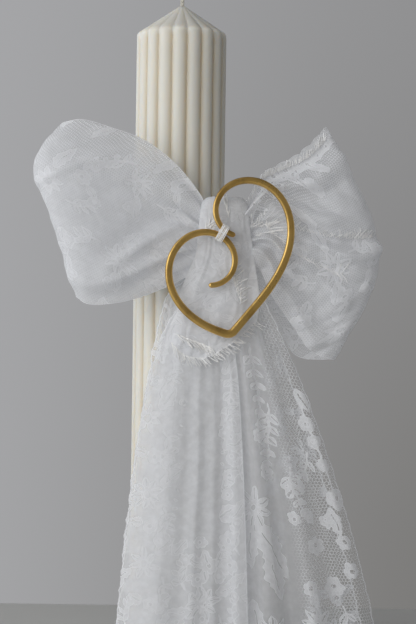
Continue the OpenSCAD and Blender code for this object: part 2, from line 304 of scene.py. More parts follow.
class Lace:
    """The worked pattern of one sheet, in mm over its cut coordinates u (across) and v (along).
    worked is the depth inside the worked shapes, slit the distance from the nearest slit in
    them, and rim the depth inside the cut edge. fill is how much of the net's holes the fine
    fluff in them hides, from 0 to 1."""

    def __init__(self, u, v, fill):
        self.u = u + 1.5 * ripple(u / 10, v / 10, 5) + 0.5 * ripple(u / 3.6, v / 3.6, 6)
        self.v = v + 1.5 * ripple(u / 10, v / 10, 7) + 0.5 * ripple(u / 3.6, v / 3.6, 8)
        self.cut = u, v
        self.fill = fill + np.zeros(u.shape)
        self.worked = np.full(u.shape, -6.0)
        self.slit = np.full(u.shape, 6.0)
        self.rim = np.full(u.shape, 6.0)

    def local(self, at, turn, reach):
        """The points within reach of a place, and their coordinates about it."""
        du, dv = self.u - at[0], self.v - at[1]
        near = du * du + dv * dv < reach * reach
        du, dv = du[near], dv[near]
        c, s = math.cos(math.radians(turn)), math.sin(math.radians(turn))
        return near, du * c + dv * s, dv * c - du * s

    def lay(self, near, depth, slit=None):
        """Adds a worked shape, and its slit, to the points near it."""
        self.worked[near] = np.maximum(self.worked[near], depth)
        if slit is not None:
            inside = np.where(depth > -0.4, slit, 6.0)
            self.slit[near] = np.minimum(self.slit[near], inside)

    def leaf(self, at, turn, length, width, teeth=0):
        """An almond leaf that starts at a place, with an open vein if it is wide."""
        near, x, y = self.local(at, turn, length + 2)
        s = np.clip(x / length, 0, 1)
        half = width * np.sin(np.pi * s**0.8) ** 0.85
        if teeth:
            half = half * (1 + 0.14 * np.sin(TAU * teeth * s))
        beyond = np.maximum(np.maximum(-x, x - length), 0)
        vein = np.hypot(y * 0.9, np.maximum(np.maximum(length * 0.22 - x, x - length * 0.8), 0))
        self.lay(near, half - np.abs(y) - beyond, vein if width > 1.8 else None)

    def daisy(self, at, turn, reach, petals=9):
        """Long separate petals round an open eye."""
        hub = reach * 0.3
        eye = 2.2
        for k in range(petals):
            a = turn + 360 * k / petals
            start = at + hub * 0.8 * heading(a)
            self.leaf(start, a, (reach - hub * 0.8) * (1 if k % 2 else 0.88), reach * 0.17)
        near, x, y = self.local(at, 0, hub + 2)
        r = np.hypot(x, y)
        self.lay(near, np.minimum(hub - r, r - eye))

    def ring_flower(self, at, turn, reach, petals=6):
        """A small rounded flower with an open eye."""
        near, x, y = self.local(at, turn, reach + 2)
        r, a = np.hypot(x, y), np.arctan2(y, x)
        rim = reach * (0.74 + 0.26 * np.abs(np.cos(a * petals / 2)) ** 0.6)
        self.lay(near, np.minimum(rim - r, r - reach * 0.3))

    def stem(self, points):
        """A worked line through a few points."""
        half_width = 0.45
        pts = np.array(points, float)
        best = np.full(self.u.shape, 9.0)
        for (x0, y0), (x1, y1) in zip(pts[:-1], pts[1:]):
            dx, dy = x1 - x0, y1 - y0
            t = ((self.u - x0) * dx + (self.v - y0) * dy) / (dx * dx + dy * dy)
            t = np.clip(t, 0, 1)
            best = np.minimum(best, np.hypot(self.u - x0 - t * dx, self.v - y0 - t * dy))
        self.worked = np.maximum(self.worked, half_width - best)

    def sprig(self, at, turn, length, leaf=8.0, pairs=3, bend=18):
        """A bending stem with pairs of leaves and a ring flower at its end."""
        points, angle = [np.array(at, float)], turn
        step = length / (pairs + 1)
        for k in range(pairs + 1):
            angle += bend
            points.append(points[-1] + step * heading(angle))
            if k < pairs:
                size = leaf * (1 - 0.12 * k)
                self.leaf(points[-1], angle + 48, size, size * 0.27)
                self.leaf(points[-1], angle - 52, size * 0.92, size * 0.25)
        self.stem(points)
        self.ring_flower(points[-1], angle, leaf * 0.5)

    def ground(self, seed, across=46.0, along=58.0, skip=0.0):
        """The repeat that covers the sheet: flowers with sprigs between them, in half-drop."""
        draw = np.random.default_rng(seed)
        shift = draw.random(2) * (across, along)
        for i in range(int(np.floor(self.u.min() / across)) - 1, int(self.u.max() / across) + 2):
            for j in range(int(np.floor(self.v.min() / along)) - 1, int(self.v.max() / along) + 2):
                jog = draw.random(3)
                u0 = i * across + shift[0] + 3 * jog[0]
                v0 = (j + 0.5 * (i % 2)) * along + shift[1] + 4 * jog[1]
                if draw.random() < skip:
                    continue
                self.daisy((u0, v0), 360 * jog[2], 9 + 3 * jog[0], 7 + int(3 * jog[1]))
                self.leaf((u0 + 8, v0 - 6), 300 + 50 * jog[2], 15 + 4 * jog[1], 4.0, 4)
                self.leaf((u0 - 8, v0 + 5), 120 + 50 * jog[0], 14 + 4 * jog[2], 3.6, 4)
                self.sprig((u0 + 11, v0 + 8), 35 + 20 * jog[0], 22, 7.0 + 2 * jog[1])
                self.sprig((u0 - 12, v0 - 8), 215 + 20 * jog[1], 20, 6.0 + 2 * jog[2])
                self.ring_flower((u0 + 4, v0 - 24), 30, 4.0 + 2 * jog[2])
                self.leaf((u0 + 9, v0 - 26), -20, 10.0, 2.8, 5)
                self.leaf((u0 - 1, v0 - 25), 195, 10.0, 2.8, 5)
                self.ring_flower((u0 - 16, v0 + 12), 10, 3.0 + 1.5 * jog[0], 5)

    def cut_side(self, edge, along, seed):
        """A cut side that wavers a little, with a worked line along it."""
        wander = 1.3 * ripple(along / 9, 0, seed) + 0.5 * ripple(along / 2.5, 0, seed)
        depth = edge - 1.6 - wander
        self.rim = np.minimum(self.rim, depth)
        self.worked = np.maximum(self.worked, 0.75 - np.maximum(depth, 0))

    def border(self, edge, along, scallop=9.0, width=7.5, bite=2.2):
        """A close-worked border along an edge: scallops with eyelets and corded edges."""
        wave = np.abs(np.sin(np.pi * along / scallop)) ** 0.7
        depth = edge - bite * (1 - wave)
        self.rim = np.minimum(self.rim, depth)
        self.worked = np.maximum(self.worked, np.minimum(depth + 0.2, width - depth))
        middle = (along % scallop) - scallop / 2
        eyelet = np.hypot(middle, depth - width * 0.45) - 0.9
        between = np.hypot(np.abs(middle) - scallop / 2, depth - width * 0.72) - 0.5
        inside = (depth > 0) & (depth < width)
        self.slit = np.where(inside, np.minimum(self.slit, np.minimum(eyelet, between)), self.slit)


def lace_sheet(name, p, lace, material):
    """A cloth sheet from a grid of points in mm and the lace pattern on it."""
    m, n = p.shape[:2]
    obj = new_object(name, (p * MM).reshape(-1, 3), grid_faces(m, n), material)
    mesh = obj.data
    uv = np.stack(lace.cut, -1).reshape(-1, 2) * MM
    layer = mesh.uv_layers.new(name="cut")
    corners = np.empty(len(mesh.loops), dtype=np.int32)
    mesh.loops.foreach_get("vertex_index", corners)
    layer.data.foreach_set("uv", uv[corners].astype(np.float32).reshape(-1))
    for key in ("worked", "slit", "rim", "fill"):
        values = getattr(lace, key).astype(np.float32).reshape(-1)
        mesh.attributes.new(key, "FLOAT", "POINT").data.foreach_set("value", values)
    return obj


NET_SHARE = 0.12  # width of a net thread, as a share of the net's cell


def hex_net(g, u, v, cell):
    """1 on the threads of a six-sided net, 0 in its holes; u, v and the cell's width in mm."""
    rise, thread = cell * math.sqrt(3), cell * NET_SHARE

    def centred(value, period, shift):
        return g.sub(g.math("FLOORED_MODULO", g.add(value, shift), period), period / 2)

    def reach(shift_u, shift_v):
        x = g.size(centred(u, cell, shift_u))
        y = g.size(centred(v, rise, shift_v))
        return g.most(x, g.add(g.mul(x, 0.5), g.mul(y, math.sqrt(3) / 2)))

    nearest = g.math("MINIMUM", reach(0.0, 0.0), reach(cell / 2, rise / 2))
    return g.step(g.sub(cell / 2, nearest), thread * 0.68, thread * 0.36)


def lace_material(name, white, cell, lost, glow_share):
    """White floral lace: a net, close-worked shapes with corded outlines, and open slits.
    cell is the net's size in mm, lost the fill at which its threads no longer show, and
    glow_share how much of the light comes through the cloth."""
    g = new_material(name)
    cut = g.node("ShaderNodeUVMap", uv_map="cut").outputs[0]
    place = g.node("ShaderNodeVectorMath", operation="SCALE")
    g.put(place.inputs[0], cut)
    place.inputs["Scale"].default_value = 1000.0
    place = place.outputs[0]
    across, along = g.xyz(place)[:2]
    wander = g.mul(g.sub(g.noise(0.05, 1.0, place), 0.5), 3.0)
    u, v = g.add(across, wander), g.sub(along, wander)

    def attribute(key):
        return g.node("ShaderNodeAttribute", attribute_name=key).outputs["Fac"]

    worked, slit, rim, fill = (attribute(key) for key in ("worked", "slit", "rim", "fill"))
    waver = g.mul(g.sub(g.noise(0.9, 1.0, place), 0.5), 0.35)
    worked = g.add(worked, waver)
    cloth = g.mul(g.step(worked, -0.1, 0.15), g.step(slit, 0.25, 0.5))
    outline = g.step(g.size(g.sub(worked, 0.1)), 0.46, 0.28)
    slit_cord = g.mul(g.step(g.size(g.sub(slit, 0.6)), 0.3, 0.16), g.step(worked, 0.0, 0.2))
    cord = g.most(outline, slit_cord)

    weave = g.mul(g.math("SINE", g.mul(u, TAU / 0.9)), g.math("SINE", g.mul(v, TAU / 0.9)))
    patchy = g.noise(0.22, 3.0, place)
    density = g.mul(g.add(g.mul(weave, 0.08), 0.9), g.step(patchy, 0.3, 0.6, 0.88, 1.0))
    net = hex_net(g, u, v, cell)
    fluff = g.mul(fill, g.step(patchy, 0.35, 0.7, 0.93, 1.05))
    net = g.mul(net, g.step(fill, lost, lost - 0.35))
    open_work = g.most(net, fluff)
    alpha = g.most(open_work, g.mul(cloth, density), cord)
    alpha = g.mul(alpha, g.step(rim, -0.12, 0.1))

    cloudy = g.step(g.noise(0.09, 3.0, place), 0.36, 0.62, 0.0, 0.65)
    solid = g.most(cloudy, g.mul(cloth, 0.88), g.mul(cord, 0.96))
    colour = g.blend(solid, [0.92 * c for c in white], white)
    raised = g.most(g.mul(cloth, 0.75), cord)
    height = g.add(g.mul(raised, 0.6), g.add(g.mul(weave, 0.12), g.mul(net, 0.12)))
    normal = g.bump(height, 0.00022)
    face = g.principled(Base_Color=colour, Roughness=0.7, Normal=normal, Sheen_Weight=0.2,
                        Sheen_Roughness=0.5, Specular_IOR_Level=0.3)
    glow = g.node("ShaderNodeBsdfTranslucent")
    g.put(glow.inputs["Color"], colour)
    g.put(glow.inputs["Normal"], normal)
    lit = g.mix_shaders(glow_share, face, glow.outputs[0])
    hole = g.node("ShaderNodeBsdfTransparent").outputs[0]
    return g.finish(g.mix_shaders(alpha, hole, lit))


# ---------------------------------------------------------------- other materials

CANDLE_R = 30.0
RIBS = 18
RIB_R = 6.0
RIB_RING = CANDLE_R - RIB_R
RIB_TURN = math.radians(8.5)
HALF_PITCH = math.pi / RIBS
CANDLE_H = 450.0
SHOULDER_Z = 432.0
TIP_R = 2.4
FOOT_CHAMFER = 0.8
FOOT_HOLE_R = 10.4  # opening for the sustainer
WICK_HOLE_R, WICK_WELL = 1.62, 0.3
FILLET_Z, FILLET_RISE, FILLET_IN = SHOULDER_Z - 3, 3.6, 2.6


def rib_radius(angle):
    """Radius of the ribbed outline at an angle."""
    phi = (angle - RIB_TURN + HALF_PITCH) % (2 * HALF_PITCH) - HALF_PITCH
    return RIB_RING * np.cos(phi) + np.sqrt(RIB_R**2 - (RIB_RING * np.sin(phi)) ** 2)


GROOVE_R = float(rib_radius(RIB_TURN + HALF_PITCH))


def wax_material():
    """Ivory wax: it lets light in, has painted warm shade down its grooves, and has faint casting
    ripples.
    """
    g = new_material("ivory_wax")
    x, y, z = g.xyz(g.place())
    radius = g.math("SQRT", g.add(g.mul(x, x), g.mul(y, y)))
    # Painted shade: below the shoulder the grooves are coloured darker and warmer (0.6, 0.52,
    # 0.38), standing in for their shade and the light glowing through the wax there.
    groove_shade = g.step(radius, (CANDLE_R - 0.15) * MM, (GROOVE_R + 0.1) * MM)
    groove_shade = g.mul(groove_shade, g.step(z, (SHOULDER_Z - 2) * MM, (SHOULDER_Z - 6) * MM))
    cloud = g.noise(24.0, 3.0)
    base = g.blend(cloud, (0.62, 0.605, 0.55), (0.67, 0.66, 0.615))
    colour = g.blend(g.mul(groove_shade, 0.7), base, (0.6, 0.52, 0.38))
    rough = g.step(cloud, 0.3, 0.7, 0.5, 0.62)
    height = g.add(g.mul(g.noise(900.0, 2.0), 0.12), g.noise(75.0, 2.0))
    return g.finish(g.principled(
        Base_Color=colour, Roughness=rough, Normal=g.bump(height, 0.0003, 0.6),
        Subsurface_Weight=0.95, Subsurface_Radius=(1.0, 0.85, 0.65), Subsurface_Scale=0.011,
        IOR=1.44))


def thread_material(name, colour):
    """Spun thread: a fine twist and slight fuzz."""
    g = new_material(name)
    twist = g.noise(2200.0, 2.0)
    tone = g.blend(twist, [0.85 * c for c in colour], colour)
    return g.finish(g.principled(
        Base_Color=tone, Roughness=0.75, Normal=g.bump(twist, 0.00015), Sheen_Weight=0.3))


def satin_material():
    """White satin ribbon: fine ribs along it and a soft gloss."""
    g = new_material("white_satin")
    z = g.xyz(g.place())[2]
    thread_pitch = 0.0006
    threads = g.math("SINE", g.mul(z, TAU / thread_pitch))
    cloud = g.noise(45.0, 2.0)
    colour = g.blend(cloud, (0.78, 0.78, 0.77), (0.90, 0.90, 0.89))
    rough = g.step(cloud, 0.3, 0.7, 0.28, 0.42)
    return g.finish(g.principled(
        Base_Color=colour, Roughness=rough, Normal=g.bump(threads, 0.0001, 0.5), Sheen_Weight=0.4,
        Anisotropic=0.5))


def brass_material():
    """Polished brass with drawing marks, faint tarnish and small dents."""
    g = new_material("polished_brass")
    place = g.place()
    stretched = g.node("ShaderNodeMapping")
    stretched.inputs["Scale"].default_value = (1.0, 8.0, 1.0)
    g.put(stretched.inputs["Vector"], place)
    marks = g.noise(420.0, 3.0, stretched.outputs[0])
    tarnish = g.noise(60.0, 4.0, place, 0.6)
    colour = g.blend(g.step(tarnish, 0.45, 0.72), (0.78, 0.51, 0.16), (0.5, 0.31, 0.09))
    rough = g.add(g.step(tarnish, 0.35, 0.75, 0.24, 0.36), g.mul(marks, 0.08))
    height = g.add(g.mul(marks, 0.25), g.noise(200.0, 2.0, place))
    return g.finish(g.principled(
        Base_Color=colour, Roughness=rough, Metallic=1.0, Normal=g.bump(height, 0.0002, 0.5)))


def steel_material():
    """Dull tinned steel."""
    g = new_material("tinned_steel")
    grain = g.noise(600.0, 3.0)
    colour = g.blend(grain, (0.42, 0.42, 0.41), (0.60, 0.60, 0.58))
    rough = g.step(grain, 0.3, 0.7, 0.35, 0.5)
    return g.finish(g.principled(
        Base_Color=colour, Roughness=rough, Metallic=1.0, Normal=g.bump(grain, 0.0001)))


# ---------------------------------------------------------------- candle


def pillar_rows():
    """Heights of the pillar's rings from the foot up, each with its share of the full radius."""
    rows = [(0.0, FOOT_HOLE_R / CANDLE_R), (0.0, 1 - FOOT_CHAMFER / CANDLE_R), (FOOT_CHAMFER, 1.0)]
    rows += [(z, 1.0) for z in np.linspace(4, FILLET_Z, 60)]
    for a in np.radians(np.linspace(8, 62, 8)):
        inwards = FILLET_IN * (1 - math.cos(a))
        rows.append((FILLET_Z + FILLET_RISE * math.sin(a), 1 - inwards / CANDLE_R))
    z0, s0 = rows[-1]
    for t in np.linspace(0, 1, 26)[1:]:
        rows.append((mix(z0, CANDLE_H, t), mix(s0, TIP_R / CANDLE_R, t)))
    return rows + [(CANDLE_H - WICK_WELL, WICK_HOLE_R / CANDLE_R)]


def wax_pillar(material):
    """The ribbed pillar, its ribs running on over the rounded shoulder and up the cone."""
    around = RIBS * 20
    angle = TAU * np.arange(around) / around + RIB_TURN
    outline = rib_radius(angle)
    rings = []
    for z, share in pillar_rows():
        flute = smooth((share - 0.06) / 0.3)
        radius = mix(CANDLE_R, outline, flute) * share
        if z == 0.0 and share < 0.5:
            radius = np.full(around, FOOT_HOLE_R)
        worn = 0.05 * (1 + np.sin(2 * angle + z * 0.013)) * (share > 0.9)
        radius = radius - worn
        x, y = radius * np.cos(angle), radius * np.sin(angle)
        rings.append(np.stack([x, y, np.full(around, z)], -1))
    verts = np.array(rings).reshape(-1, 3) * MM
    return new_object("wax_pillar", verts, ring_faces(len(rings), around)[:, ::-1], material)


def braided_wick(material):
    """Three braided cotton strands, a little frayed at the top."""
    low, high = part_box("wick")[0][2] / MM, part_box("wick")[1][2] / MM
    strands, strand_r, pitch = 3, 0.66, 6.5
    frays, fray_r = 14, 0.14
    draw = np.random.default_rng(3)
    z = np.linspace(low + 0.5, high - 2.5, 520)
    paths = []
    for strand in range(strands):
        a = z * TAU / pitch + strand * TAU / 3
        paths.append(np.stack([0.72 * np.cos(a), 0.5 * np.sin(2 * a), z], -1))
    t = np.linspace(0, 1, 6)
    for k in range(frays):
        a = TAU * k / frays
        spread = 0.45 + 0.8 * t * draw.random()
        top = high - 0.3 - 1.2 * draw.random()
        paths.append(np.stack([spread * np.cos(a), spread * np.sin(a), mix(high - 4, top, t)], -1))
    radii = [strand_r] * strands + [fray_r] * frays
    return threads_object("braided_wick", paths, radii, material, sides=8)


# ---------------------------------------------------------------- band and sash

BAND_Z = [c[2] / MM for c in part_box("satin_band")]
BAND_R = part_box("satin_band")[1][0] / MM
BAND_MARGIN, BAND_INSET = 0.3, 0.35
SASH_APEX = np.array([34.0, -38.5])
SASH_R = 32.0  # round the candle
SASH_LOW, SASH_HIGH = (264.5, 279), (315.5, 303)  # edges round the candle, and at the knot
LEG = 0.2  # share of the sash's length in each leg from the candle to the knot


def satin_band(material):
    """A satin ribbon round the ribs, with rolled selvages."""
    turns, rows = 360, 40
    a = (TAU * np.linspace(0, 1, turns + 1)[:-1])[:, None]
    across = np.linspace(0, 1, rows)[None, :]
    z = mix(BAND_Z[0] + BAND_MARGIN, BAND_Z[1] - BAND_MARGIN, across)
    selvage = 0.16 * (bell(across, 0.02, 0.025) + bell(across, 0.98, 0.025))
    r = BAND_R - BAND_INSET + selvage + 0.12 * ripple(a * 6, z / 16, 21)
    p = np.stack([r * np.cos(a), r * np.sin(a), z + 0 * r], -1)
    faces = grid_faces(turns, rows, ring=True)
    return new_object("satin_ribbon", (p * MM).reshape(-1, 3), faces, material)


def sash_plan(t):
    """The sash's line, seen from above: round the candle and off it to behind the knot."""
    d = float(np.linalg.norm(SASH_APEX))
    towards = math.atan2(SASH_APEX[1], SASH_APEX[0])
    half_wrap = math.acos(SASH_R / d)
    a0, a1 = towards + half_wrap, towards + TAU - half_wrap
    a = mix(a0, a1, np.clip((t - LEG) / (1 - 2 * LEG), 0, 1))
    on = SASH_R * np.stack([np.cos(a), np.sin(a)], -1)
    leave = np.clip(np.maximum(LEG - t, t - 1 + LEG) / LEG, 0, 1)[..., None]
    return mix(on, SASH_APEX, leave)


def sash_grid():
    """Lace sash in soft gathers along its length, narrower where it reaches the knot."""
    t = np.linspace(0.001, 0.999, 420)
    v = np.linspace(0, 1, 70)[None, :]
    plan = sash_plan(t)
    narrow = smooth(np.abs(t - 0.5) / 0.26 - 0.92)[:, None]
    z = mix(mix(*SASH_LOW, narrow), mix(*SASH_HIGH, narrow), v)
    out = unit(np.stack([np.gradient(plan[:, 1]), -np.gradient(plan[:, 0])], -1))
    out = out * np.sign(np.sum(plan * out, axis=1, keepdims=True))
    along = t[:, None] * 260
    gathers = 0.35 * np.sin(TAU * (5 * v + 0.5 * ripple(along / 70, v * 2, 31)))
    gathers = gathers * (1 + 1.2 * narrow) + 0.25 * ripple(along / 9, v * 7, 32)
    push = np.clip(gathers, -0.55, 2.0)
    x, y = plan[:, :1] + out[:, :1] * push, plan[:, 1:] + out[:, 1:] * push
    return np.stack([x, y, z], -1)


def floral_wire(material):
    """Annealed tie wire behind the knot: two turns and a twisted tail end."""
    low, high = (np.array(c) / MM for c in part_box("floral_wire"))
    x = (low[0] + high[0]) / 2
    wire_r, corner = 0.42, 4.5
    tail_top, tail_end, tail_turns = 296, 284, 4
    y0, y1, z0, z1 = low[1] + 0.5, high[1] - 0.5, low[2] + 0.5, high[2] - 0.5
    corners = [(y1 - corner, z1 - corner, 0), (y0 + corner, z1 - corner, 90),
               (y0 + corner, z0 + corner, 180), (y1 - corner, z0 + corner, 270)]
    path = []
    for cy, cz, start in corners:
        for a in np.radians(np.linspace(start, start + 90, 9)):
            path.append((cy + corner * math.cos(a), cz + corner * math.sin(a)))
    path.append(path[0])
    flat = np.array(path)
    loops = []
    for side in (-0.45, 0.45):
        sway = side + 0.15 * np.sin(np.linspace(0, TAU, len(flat)))
        loops.append(np.stack([x + sway, flat[:, 0], flat[:, 1]], -1))
    t = np.linspace(0, 1, 40)
    for phase in (0, math.pi):
        turn = t * TAU * tail_turns + phase
        loops.append(np.stack([x + 0.5 * np.cos(turn), y1 - 0.5 + 0.5 * np.sin(turn) - 0.5,
                               mix(tail_top, tail_end, t)], -1))
    return threads_object("tie_wire", loops, [wire_r] * 4, material, sides=8)


# ---------------------------------------------------------------- loops of the bow

LOOP_ROUND = 0.4  # how much a loop closes in towards its upper and lower edges
# A loop's run out and back and its depth are curves over u, its reach is a curve over v, and
# its upper and lower edges are curves over the run; see loop_base.
RUN = [[0, 0], [0.12, 0.2], [0.24, 0.47], [0.36, 0.76], [0.45, 0.95], [0.5, 1], [0.55, 0.96],
       [0.65, 0.76], [0.78, 0.46], [0.89, 0.2], [1, 0]]
LEFT_LOOP = {
    "x0": 30, "way": -1,
    "reach": [[0, 93], [0.3, 103], [0.6, 115], [0.75, 120], [0.9, 112], [1, 102]],
    "depth": [[0, -51.5], [0.08, -51.6], [0.15, -53], [0.22, -57.5], [0.29, -66], [0.37, -75],
              [0.44, -76], [0.5, -68], [0.56, -56], [0.66, -47], [0.8, -44], [1, -44]],
    "top": [[0, 306], [0.11, 314], [0.16, 322], [0.31, 340], [0.5, 354], [0.7, 361],
            [0.88, 365], [1, 363]],
    "low_front": [[0, 282], [0.2, 272], [0.4, 262], [0.6, 254.5], [0.8, 250.5], [0.92, 251],
                  [1, 255]],
    "low_back": [[0, 274], [0.2, 271], [0.4, 264], [0.65, 257], [0.8, 253], [0.92, 252.5],
                 [1, 255]],
}
RIGHT_LOOP = {
    "x0": 33, "way": 1,
    "reach": [[0, 67], [0.1, 76], [0.23, 87], [0.36, 94], [0.5, 95], [0.62, 90], [0.76, 80],
              [0.9, 70], [1, 60]],
    "depth": [[0, -51.5], [0.08, -53], [0.15, -56], [0.25, -59], [0.36, -61], [0.44, -57],
              [0.5, -48], [0.56, -36], [0.66, -26], [0.77, -32], [0.86, -42.4], [1, -44]],
    "top": [[0, 306], [0.1, 311], [0.17, 317], [0.25, 328], [0.34, 336], [0.54, 343], [0.78, 352],
            [1, 366]],
    "low_front": [[0, 284], [0.2, 280], [0.3, 273], [0.4, 258], [0.53, 246], [0.63, 236],
                  [0.79, 223], [1, 218]],
    "low_back": [[0, 268], [0.3, 262], [0.45, 241], [0.65, 220], [1, 218]],
}


def loop_base(shape, m=330, n=150):
    """The smooth loop: u runs out from the knot in front and back behind, v from its lower
    edge to its upper one."""
    u, v = np.linspace(0, 1, m)[:, None], np.linspace(0, 1, n)[None, :]
    r = curve(RUN, u)
    low = mix(curve(shape["low_front"], r), curve(shape["low_back"], r), smooth((u - 0.44) / 0.12))
    z = mix(low, curve(shape["top"], r), v)
    x = shape["x0"] + shape["way"] * r * curve(shape["reach"], v)
    front, behind = curve(shape["depth"], u), curve(shape["depth"], 1 - u)
    middle = (front + behind) / 2
    y = middle + (front - middle) * (1 - LOOP_ROUND * np.abs(2 * v - 1) ** 2.4)
    return u, v, np.stack([x, y, z], -1)


def knot_pleats(u, v, count, seed):
    """Pleats that start at the knot, at both ends of a loop, and fade outwards."""
    out = 1 - np.abs(2 * u - 1)
    wander = 0.35 * ripple(v * 3, u * 6, seed)
    wave = np.sin(TAU * (count * v + wander + 0.3 * out))
    return wave * (1.3 * bell(out, 0.1, 0.14) + 0.8 * bell(out, 0.25, 0.22))


def left_loop_folds(u, v, s, t):
    """A puffed, mostly smooth loop: long creases towards the knot and faint crumples."""
    out = 1 - np.abs(2 * u - 1)
    free = smooth(out / 0.3)
    push = knot_pleats(u, v, 4.5, 41)
    push += 2.2 * free * ripple(out * 1.6, v * 2.1 + u, 42)
    crease = v - mix(0.62, 0.16, smooth(u / 0.42))
    push -= 2.4 * bell(crease, 0, 0.045) * bell(u, 0.25, 0.16)
    push += 1.4 * bell(crease, 0.1, 0.07) * bell(u, 0.25, 0.18)
    fold = v - mix(0.9, 0.66, smooth((u - 0.2) / 0.3))
    push -= 1.6 * bell(fold, 0, 0.03) * bell(u, 0.42, 0.09)
    lip = v - mix(0.26, 0.07, smooth(u / 0.46))
    push -= 3.0 * bell(lip, 0.03, 0.035) * bell(u, 0.27, 0.16)
    push += 2.0 * bell(lip, -0.05, 0.05) * bell(u, 0.27, 0.18)
    push += 0.7 * free * crumple(s / 40, t / 30, 43)
    push += 0.3 * free * ripple(s / 14, t / 11, 44)
    return push + 0.1 * ripple(s / 5, t / 5, 45)


def crease(u, v, line, width, height):
    """A ridge, or a valley where height is below 0, along a line of (u, v) points."""
    first, last = line[0][0], line[-1][0]
    ends = smooth((u - first) / 0.06) * (1 - smooth((u - last) / 0.05))
    return height * bell(v - curve(line, u), 0, width) * ends


RIGHT_CREASES = (  # line of (u, v) points, width and height in mm
    ([[0.04, 0.79], [0.2, 0.83], [0.45, 0.89]], 0.045, -3.6),
    ([[0.04, 0.66], [0.2, 0.71], [0.4, 0.78]], 0.05, 2.2),
    ([[0.06, 0.56], [0.2, 0.6], [0.42, 0.66]], 0.035, -1.6),
    ([[0.2, 0.56], [0.35, 0.545], [0.47, 0.53]], 0.03, 3.0),
    ([[0.18, 0.49], [0.35, 0.475], [0.47, 0.47]], 0.035, -3.8),
    ([[0.06, 0.42], [0.2, 0.38], [0.4, 0.33]], 0.03, 2.4),
    ([[0.06, 0.34], [0.2, 0.3], [0.38, 0.24]], 0.03, -2.6),
    ([[0.06, 0.28], [0.2, 0.22], [0.4, 0.13]], 0.035, 2.8),
    ([[0.08, 0.2], [0.2, 0.14], [0.36, 0.05]], 0.03, -2.4),
)


def right_loop_folds(u, v, s, t):
    """A heavily crumpled loop with a rolled border along its upper front edge."""
    out = 1 - np.abs(2 * u - 1)
    free = smooth(out / 0.3)
    push = 0.6 * knot_pleats(u, v, 5, 51)
    push += 1.8 * free * ripple(out * 2.0, v * 2.6 + u, 52)
    waver = v + 0.025 * ripple(u * 11, v * 5, 53)
    for line, width, height in RIGHT_CREASES:
        push += crease(u, waver, line, width, height)
    front = free * mix(0.3, 1, 1 - smooth((u - 0.33) / 0.12))
    push += 1.7 * front * crumple(s / 38, t / 30, 54)
    push += 0.9 * front * crumple(s / 15 + 3, t / 12, 55)
    push += 0.25 * front * ripple(s / 7, t / 6, 56)
    along_top = smooth(u / 0.05) * (1 - smooth((u - 0.42) / 0.1))
    push += 6.0 * bell(v, 0.94, 0.045) * along_top
    push -= 2.5 * bell(v, 0.83, 0.04) * along_top
    return push + 0.12 * ripple(s / 3.6, t / 3.6, 57)


def loop_sheet(shape, folds, limit):
    """The folded loop, its cut coordinates in mm and the distance to its nearer long edge."""
    u, v, p = loop_base(shape)
    s, t = run_length(p, 0), run_length(p, 1)
    push = np.clip(folds(u, v, s, t), -limit, limit)
    outward = -shape["way"] * grid_normals(p)
    near_knot = smooth((1 - np.abs(2 * u - 1)) / 0.06)
    p = p + outward * (push * mix(0.4, 1, near_knot))[..., None]
    edge = np.minimum(t - t[:, :1], t[:, -1:] - t)
    return p, t, s, edge


def loop_fill(top, low, across, reach):
    """Fill of a loop: from top at its upper edge to low at reach mm below it, and more where
    the loop is gathered."""
    share = np.linspace(0, 1, len(across))[:, None]
    gathered = 0.45 * (1 - smooth((1 - np.abs(2 * share - 1)) / 0.45))
    return np.clip(mix(top, low, smooth(across / reach)) + gathered, 0, 0.97)


def loops(lace):
    """Both loops of the bow, and the right one's points."""
    p, u, v, edge = loop_sheet(LEFT_LOOP, left_loop_folds, 4.5)
    pattern = Lace(u, v, loop_fill(0.45, 0.82, u[:, -1:] - u, 50))
    pattern.ground(61, 50, 60)
    pattern.worked = np.maximum(pattern.worked, 0.25 - edge)
    left = lace_sheet("bow_loop_left", p, pattern, lace)
    p, u, v, edge = loop_sheet(RIGHT_LOOP, right_loop_folds, 6.5)
    upper = u[:, -1:] - u
    pattern = Lace(u, v, loop_fill(0.3, 0.66, upper, 45))
    pattern.ground(62, 42, 50, 0.3)
    pattern.border(upper, v, 9.0, 11.0, 1.2)
    pattern.worked = np.maximum(pattern.worked, 0.25 - edge)
    return left, lace_sheet("bow_loop_right", p, pattern, lace), p


# ---------------------------------------------------------------- knot

WRAP_Y, WRAP_R, WRAP_TURN = -59.3, 7.6, math.radians(135)
WRAP_TOP, WRAP_HEM = 320.0, 217.0
WRAP_CURL = 3.3  # how far its sides bend back
WRAP_HEM_CUT = [[0, 10], [0.2, 2], [0.45, 0], [0.7, 8], [1, 24]]
WRAP_LEFT = [[217, -6], [232, -2], [250, 1], [264, 4], [274, 8], [284, 12], [300, 13], [320, 15]]
WRAP_RIGHT = [[217, 46], [232, 49], [250, 52], [262, 51.5], [272, 50], [284, 48], [300, 46],
              [320, 44]]


